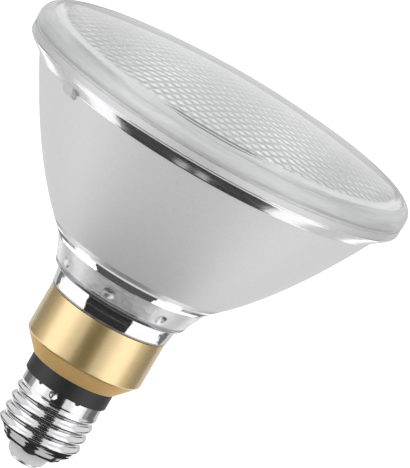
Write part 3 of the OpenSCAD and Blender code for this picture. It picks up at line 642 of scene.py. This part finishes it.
def flare_outline():
    """The look and the outline of each zone from the neck's top up to the satin bowl."""
    flare = np.array((FLARE_R, FLARE_Z))
    frost = np.array((BOWL_FOOT_R - FROST_STEP, FROST_Z))
    brink = flare * BRINK_SHARE + frost * (1 - BRINK_SHARE)
    foot_in = (BOWL_FOOT_R - FROST_LIP_R, FROST_Z - FROST_LIP_DIP)
    foot_out = (BOWL_FOOT_R + FROST_LIP_R, FROST_Z + FROST_LIP_H)
    foot_z = np.linspace(FROST_Z + FROST_LIP_H, BOWL_SATIN_Z, 4)[:-1]
    return [
        ("flare_glass", line((NECK_TOP_R, NECK_TOP_Z), flare, 8)),
        ("flare_glass", line(flare, brink, 6)),
        ("brink_glass", line(brink, frost, 4)),
        # The bowl's foot is darker than the bowl: painted shade where it meets the neck
        ("bowl_foot_glass_painted_shade", curve(frost, foot_in, (BOWL_FOOT_R, FROST_Z), foot_out, 4)),
        ("bowl_foot_glass_painted_shade", np.stack([bowl_r(foot_z), foot_z], -1)),
    ]


def bowl_outline():
    """The look and the outline of each zone of the bowl, the rim and the mirror inside."""
    roll_foot = np.array((BOWL_TOP_R, RIM_ROLL_Z))
    corner_z = RIM_ROLL_Z + (RIM_WALL_Z - RIM_ROLL_Z) * ROLL_CORNER_SHARE
    roll_corner = np.array((REFLECTOR_R, corner_z))
    roll_bend = roll_foot + (roll_corner - roll_foot) * ROLL_CORNER_SHARE
    wall_foot = (REFLECTOR_R, RIM_WALL_Z)
    edge_out = (REFLECTOR_R, RIM_TOP_Z - EDGE_BREAK)
    edge_in = (REFLECTOR_R - EDGE_BREAK, RIM_TOP_Z)
    bowl_z = np.linspace(BOWL_SATIN_Z, RIM_ROLL_Z, 48)[:-1]
    inner_z = np.linspace(RIM_TOP_Z, FROST_Z, 48)
    neck_bore = [
        (NECK_CONE_R - GLASS_WALL, NECK_CONE_Z),
        (NECK_WAIST_R - GLASS_WALL, NECK_FOOT_Z + GLASS_WALL),
        (TAIL_BORE_R, NECK_FOOT_Z),
    ]
    return [
        ("bowl_glass", np.stack([bowl_r(bowl_z), bowl_z], -1)),
        ("roll_glass", curve(roll_foot, roll_bend, roll_corner, wall_foot, 20)),
        ("rim_glass", line(wall_foot, edge_out, 5)),
        ("rim_glass", bend(edge_out, (REFLECTOR_R, RIM_TOP_Z), edge_in, 4)),
        ("inner_mirror", [edge_in]),
        ("inner_mirror", np.stack([inner_bowl_r(inner_z), inner_z], -1)),
        ("inner_mirror", neck_bore),
    ]


def press_dimples(rows, outer):
    """Rows of points with the round dimples pressed into those rows that outer marks."""
    dimple_z = NECK_CONE_Z + (NECK_TOP_Z - NECK_CONE_Z) * DIMPLE_Z_SHARE
    dimple_r = NECK_CONE_R + (NECK_TOP_R - NECK_CONE_R) * DIMPLE_Z_SHARE
    tilt = math.atan2(NECK_TOP_R - NECK_CONE_R, NECK_TOP_Z - NECK_CONE_Z)
    for i in range(DIMPLE_COUNT):
        angle = math.radians(DIMPLE_TURN + 360 * i / DIMPLE_COUNT)
        x, y = math.cos(angle), math.sin(angle)
        normal = np.array([x * math.cos(tilt), y * math.cos(tilt), -math.sin(tilt)])
        away = rows - np.array([dimple_r * x, dimple_r * y, dimple_z])
        flat = away - (away @ normal)[..., None] * normal
        d = np.linalg.norm(flat, axis=-1) / DIMPLE_R
        near = outer[:, None] & (np.linalg.norm(away, axis=-1) < 2 * DIMPLE_R)
        depth = np.where(near, DIMPLE_DEPTH * np.clip(1 - d**2, 0, 1), 0)
        rows = rows - depth[..., None] * normal
    return rows


def reflector():
    """Pressed glass bowl, aluminised inside: clear neck and rim, satin bowl and dimples."""
    segments = 384
    parts = neck_outline() + flare_outline() + bowl_outline()
    outline = np.concatenate([np.asarray(points, float) for _, points in parts])
    zones = np.concatenate([np.full(len(points), REFLECTOR_ZONES.index(name)) for name, points in parts])
    on_neck = zones == REFLECTOR_ZONES.index("neck_glass")
    rows = press_dimples(turn(outline, segments), on_neck & (outline[:, 1] > NECK_CONE_Z - TOUCH))
    looks = [ZONE_LOOKS[name] for name in REFLECTOR_ZONES]
    made = piece("reflector_glass", rows, row_faces(len(rows), segments, True), looks,
                 np.repeat(zones, segments), sharp=28)
    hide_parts("reflector")


def locating_lug():
    """Moulded lug in the hollow under the rim, with rounded edges."""
    foot_z = RIM_WALL_Z - LUG_H
    sunk = GLASS_WALL / 2
    root = float(bowl_r(foot_z)) - sunk
    side = [
        (0, 0),
        (sunk + LUG_REACH / 2, 0),
        (sunk + LUG_REACH, LUG_REACH / 2),
        (sunk + 2 * LUG_REACH, LUG_H),
        (0, LUG_H),
    ]
    angle = math.radians(LUG_TURN)
    out = np.array([math.cos(angle), math.sin(angle), 0])
    along = np.array([-math.sin(angle), math.cos(angle), 0])
    points = [
        (root + x) * out + y * along + np.array([0, 0, foot_z + z])
        for y in (-LUG_W / 2, LUG_W / 2)
        for x, z in side
    ]
    n = len(side)
    faces = [tuple(range(n)), tuple(range(2 * n - 1, n - 1, -1))]
    faces += [(i, i + n, (i + 1) % n + n, (i + 1) % n) for i in range(n)]
    # The lug's glass is greyer than the bowl's: painted shade of the hollow under the rim
    made = piece("locating_lug", points, faces, [ZONE_LOOKS["lug_glass_painted_shade"]])
    rounding = made.modifiers.new("rounding", "BEVEL")
    rounding.width = LUG_ROUNDING * MM
    rounding.segments = 4


reflector()
locating_lug()

# Lens

LENS_ZONES = ["lens_glass", "pebbled_glass", "shoulder_glass", "crease_glass", "ground_edge_glass"]


def pebble_height(x, y):
    """Height of the pebbles: soft round bumps in rows along X."""
    turns = 4 * math.pi / (math.sqrt(3) * PEBBLE_PITCH)
    rise = x * math.sqrt(3) / 2
    waves = np.cos(turns * y) + np.cos(turns * (rise + y / 2)) + np.cos(turns * (rise - y / 2))
    return PEBBLE_DEPTH * (1 / 3 + 2 / 9 * waves)


def lens_side():
    """Outline from the dome's edge over the shoulder, the edge and the foot up to the bore."""
    shoulder = np.linspace(0, math.pi / 2, 13)[1:]
    shoulder_r = LENS_FACE_R + (LENS_R - LENS_FACE_R) * np.sin(shoulder)
    shoulder_z = LENS_EDGE_Z + (LENS_FACE_Z - LENS_EDGE_Z) * np.cos(shoulder)
    foot_out = (LENS_R, LENS_FOOT_Z + EDGE_BREAK)
    foot_in = (LENS_R - EDGE_BREAK, LENS_FOOT_Z)
    flange = (float(inner_bowl_r(RIM_TOP_Z)) + SEAT_GAP, LENS_FOOT_Z)
    return np.concatenate([
        np.stack([shoulder_r, shoulder_z], -1),
        line((LENS_R, LENS_EDGE_Z - EDGE_BREAK), foot_out, 4),
        bend(foot_out, (LENS_R, LENS_FOOT_Z), foot_in, 4),
        line(foot_in, flange, 3),
        line(flange, (LENS_BORE_R, inner_dome_z(LENS_BORE_R)), 5),
    ])


def lens_zones(points, faces, disc_faces):
    """Each face's place in LENS_ZONES. The first faces are the dome and the last the pebbles."""
    clear, pebbled, shoulder, crease, ground = range(len(LENS_ZONES))
    zones = np.full(len(faces), shoulder)
    zones[:disc_faces] = clear
    zones[-disc_faces:] = pebbled
    centres = np.array([points[list(face)].mean(0) for face in faces])
    spread, height = np.hypot(centres[:, 0], centres[:, 1]), centres[:, 2]
    near_crease = (spread > CREASE_INNER_R) & (spread < CREASE_OUTER_R)
    zones[(zones != pebbled) & (height > LENS_EDGE_Z) & near_crease] = crease
    zones[(zones == shoulder) & (height < LENS_FOOT_Z + EDGE_BREAK)] = ground
    return zones


def lens():
    """Clear domed glass with a rounded shoulder and pebbles on its inner face."""
    rings = 96
    segments = 6 * rings
    flat, triangles = disc(rings)
    spread = np.hypot(*flat.T)
    dome_z = CROWN_Z - sagitta(DOME_RADIUS, spread * LENS_FACE_R)
    dome = np.column_stack([flat * LENS_FACE_R, dome_z])
    r = spread * PEBBLE_FIELD_R
    fade = np.clip((PEBBLE_FIELD_R - r) / PEBBLE_FADE, 0, 1)
    pebbles = (pebble_height(*(flat.T * PEBBLE_FIELD_R)) + PEBBLE_SEAT) * fade
    low = np.column_stack([flat * PEBBLE_FIELD_R, inner_dome_z(r) - pebbles])
    side = turn(lens_side(), segments)
    points = np.concatenate([dome, side.reshape(-1, 3), low])
    side_first = len(dome)
    low_first = side_first + len(side) * segments
    # The outline runs down the outside here, so each face is listed the other way round
    down = [face[::-1] for face in row_faces(len(side), segments, False, side_first)]
    faces = triangles.tolist() + down
    faces += band_faces(side_first, side_first - segments, segments)
    faces += band_faces(len(points) - segments, low_first - segments, segments)
    faces += (triangles[:, ::-1] + low_first).tolist()
    looks = [ZONE_LOOKS[name] for name in LENS_ZONES]
    zones = lens_zones(points, faces, len(triangles))
    made = piece("lens_disc", points, faces, looks, zones, sharp=60)
    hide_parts("lens")


lens()

# Studio, in metres

TARGET = Vector((0, 0, 64.6 * MM))
FLOOR_Z = -0.7
FLOOR_HALF = 12
FLOOR_COLOUR = (0.85, 0.85, 0.85, 1)
FLOOR_GLOW = 0.6
SKY_LIGHT = 0.85
WHITE = (1, 1, 1, 1)
SOFTBOX_OUT = 1.15
SOFTBOX_FRONT = 0.75
SOFTBOX_UP = 0.45
SOFTBOX_W = 1.1
SOFTBOX_H = 1.7
SOFTBOX_RADIANCE = 0.5
ARC_R = 1.3
ARC_LOW = -0.42
ARC_HIGH = 0.2


def glow(name, strength):
    """A material that only gives white light of the given strength."""
    mat = bpy.data.materials.new(name)
    mat.use_nodes = True
    nodes, links = mat.node_tree.nodes, mat.node_tree.links
    nodes.remove(nodes["Principled BSDF"])
    light = nodes.new("ShaderNodeEmission")
    light.inputs["Color"].default_value = WHITE
    light.inputs["Strength"].default_value = strength
    links.new(light.outputs["Emission"], nodes["Material Output"].inputs["Surface"])
    return mat


def stage_mesh(name, points, faces, look):
    """A mesh of the studio, in metres."""
    mesh = bpy.data.meshes.new(name)
    mesh.from_pydata(points, [], faces)
    mesh.materials.append(look)
    obj = bpy.data.objects.new(name, mesh)
    bpy.context.scene.collection.objects.link(obj)
    return obj


def strip(name, first, second, look):
    """A card between two rows of as many points. Only reflections show it: the camera and
    glass look through it, and it neither lights surfaces nor casts a shadow."""
    n = len(first)
    faces = [(i, i + 1, i + 1 + n, i + n) for i in range(n - 1)]
    obj = stage_mesh(name, [*first, *second], faces, look)
    obj.visible_camera = obj.visible_diffuse = obj.visible_shadow = False
    obj.visible_transmission = False


def card(name, centre, across, up, look):
    """A flat card of four corners."""
    centre, across, up = Vector(centre), Vector(across) / 2, Vector(up) / 2
    low, high = centre - up, centre + up
    strip(name, [low - across, low + across], [high - across, high + across], look)


def round_row(radius, height, degrees, count):
    """Points on a circle around the axis, between two angles off the camera's side."""
    angles = np.radians(np.linspace(*degrees, count))
    return [(radius * math.sin(a), -radius * math.cos(a), height) for a in angles]


def sector(name, height, inner, outer, degrees, look):
    """A flat card: a part of a ring under the lamp."""
    rows = [round_row(radius, height, degrees, 65) for radius in (inner, outer)]
    strip(name, *rows, look)


def arc(name, degrees, look):
    """An upright curved card around the lamp."""
    rows = [round_row(ARC_R, height, degrees, 9) for height in (ARC_LOW, ARC_HIGH)]
    strip(name, *rows, look)


def seen_directly(tree):
    """1 for what the camera, metal and glass show, and 0 for the light on surfaces."""
    path = tree.nodes.new("ShaderNodeLightPath")
    seen = path.outputs["Is Camera Ray"]
    for ray in ("Is Glossy Ray", "Is Transmission Ray"):
        larger = tree.nodes.new("ShaderNodeMath")
        larger.operation = "MAXIMUM"
        tree.links.new(seen, larger.inputs[0])
        tree.links.new(path.outputs[ray], larger.inputs[1])
        seen = larger.outputs["Value"]
    return seen


def floor():
    """Pale floor, white to the camera where no shadow falls on it."""
    mat = bpy.data.materials.new("floor")
    mat.use_nodes = True
    tree = mat.node_tree
    sockets = tree.nodes["Principled BSDF"].inputs
    sockets["Base Color"].default_value = FLOOR_COLOUR
    sockets["Roughness"].default_value = 0.9
    sockets["Emission Color"].default_value = WHITE
    power = tree.nodes.new("ShaderNodeMath")
    power.operation = "MULTIPLY"
    power.inputs[1].default_value = FLOOR_GLOW
    tree.links.new(seen_directly(tree), power.inputs[0])
    tree.links.new(power.outputs["Value"], sockets["Emission Strength"])
    corners = [(-1, -1), (1, -1), (1, 1), (-1, 1)]
    points = [(x * FLOOR_HALF, y * FLOOR_HALF, FLOOR_Z) for x, y in corners]
    stage_mesh("floor", points, [(0, 1, 2, 3)], mat)


def sky():
    """Even world: white to the camera, to metal and to glass, softer as a light on surfaces."""
    world = bpy.data.worlds.new("studio")
    bpy.context.scene.world = world
    world.use_nodes = True
    tree = world.node_tree
    sockets = tree.nodes["Background"].inputs
    sockets["Color"].default_value = WHITE
    strength = tree.nodes.new("ShaderNodeMapRange")
    strength.inputs["To Min"].default_value = SKY_LIGHT
    strength.inputs["To Max"].default_value = 1.0
    tree.links.new(seen_directly(tree), strength.inputs["Value"])
    tree.links.new(strength.outputs["Result"], sockets["Strength"])


def softbox(name, place):
    """A rectangular lamp that faces the target."""
    lamp = bpy.data.lights.new(name, "AREA")
    lamp.shape = "RECTANGLE"
    lamp.size, lamp.size_y = SOFTBOX_W, SOFTBOX_H
    lamp.energy = SOFTBOX_RADIANCE * math.pi * SOFTBOX_W * SOFTBOX_H
    obj = bpy.data.objects.new(name, lamp)
    obj.location = place
    obj.rotation_euler = (TARGET - Vector(place)).to_track_quat("-Z", "Y").to_euler()
    bpy.context.scene.collection.objects.link(obj)


floor()
sky()
for side, name in ((-1, "left"), (1, "right")):
    softbox("softbox_" + name, (side * SOFTBOX_OUT, -SOFTBOX_FRONT, SOFTBOX_UP))

dark = glow("dark_cloth", 0.03)
grey = glow("grey_cloth", 0.20)
pale = glow("pale_cloth", 0.45)
soft = glow("soft_cloth", 0.72)
card("camera_gap", centre=(0, -1.7, 0.3), across=(1.1, 0, 0), up=(0, 0, 2.0), look=dark)
card("top_gap", centre=(0, -0.6, 1.4), across=(0.7, 0, 0), up=(0, 2.2, 0), look=dark)
sector("floor_front", height=FLOOR_Z + 0.015, inner=1.0, outer=2.6, degrees=(-46, 46), look=dark)
card("floor_light", centre=(0, -0.5, FLOOR_Z + 0.01), across=(1.4, 0, 0), up=(0, 0.9, 0), look=soft)
# Painted shade: a dark disc under the cap, seen only in reflections, for the shade under the lamp
sector("stand_painted_shade", height=-0.05, inner=0.0, outer=0.085, degrees=(0, 360), look=dark)
sector("stand_light", height=-0.005, inner=0.0, outer=0.0132, degrees=(26, 334), look=soft)
# Painted shade: a dark ring beside the cap, seen only in reflections, that darkens the collar's cone
sector("collar_painted_shade", height=0.001, inner=0.0137, outer=0.022, degrees=(0, 360), look=dark)
sector("floor_back", height=FLOOR_Z + 0.012, inner=0.75, outer=1.4, degrees=(95, 265), look=soft)
for side, name in ((-1, "left"), (1, "right")):
    arc("side_" + name, degrees=(side * 86, side * 104), look=pale)
    arc("back_" + name, degrees=(side * 104, side * 138), look=grey)
arc("back_middle", degrees=(138, 222), look=soft)

# Camera: the view of the photograph, whose pixels are named as such

CAMERA_DISTANCE = 1.5
CAMERA_ELEVATION = math.radians(12.2)
CAMERA_ROLL = math.radians(30.2)
SENSOR_W = 36
FOCAL_PIXELS = 5115
LONG_SIDE_PIXELS = 468
AIM_RIGHT_PIXELS = 74.5
AIM_UP_PIXELS = 41.7
AIM_RIGHT = AIM_RIGHT_PIXELS / FOCAL_PIXELS * CAMERA_DISTANCE
AIM_UP = AIM_UP_PIXELS / FOCAL_PIXELS * CAMERA_DISTANCE


def camera():
    """The photograph's view: from slightly above the rim, the lamp leaning 30 degrees right."""
    back = Vector((0, -math.cos(CAMERA_ELEVATION), math.sin(CAMERA_ELEVATION)))
    level = Vector((1, 0, 0))
    rise = back.cross(level)
    right = level * math.cos(CAMERA_ROLL) + rise * math.sin(CAMERA_ROLL)
    up = rise * math.cos(CAMERA_ROLL) - level * math.sin(CAMERA_ROLL)
    place = TARGET + back * CAMERA_DISTANCE
    aim = TARGET + right * AIM_RIGHT + up * AIM_UP
    out = (place - aim).normalized()
    side = up.cross(out).normalized()
    data = bpy.data.cameras.new("camera")
    data.sensor_width = SENSOR_W
    data.lens = FOCAL_PIXELS / LONG_SIDE_PIXELS * SENSOR_W
    data.clip_start, data.clip_end = 0.05, 50
    obj = bpy.data.objects.new("camera", data)
    matrix = np.eye(4)
    matrix[:3] = np.column_stack([side, out.cross(side), out, place])
    bpy.context.scene.collection.objects.link(obj)
    obj.matrix_world = Matrix(matrix.tolist())
    bpy.context.scene.camera = obj


camera()

bpy.context.scene.view_settings.view_transform = "Standard"
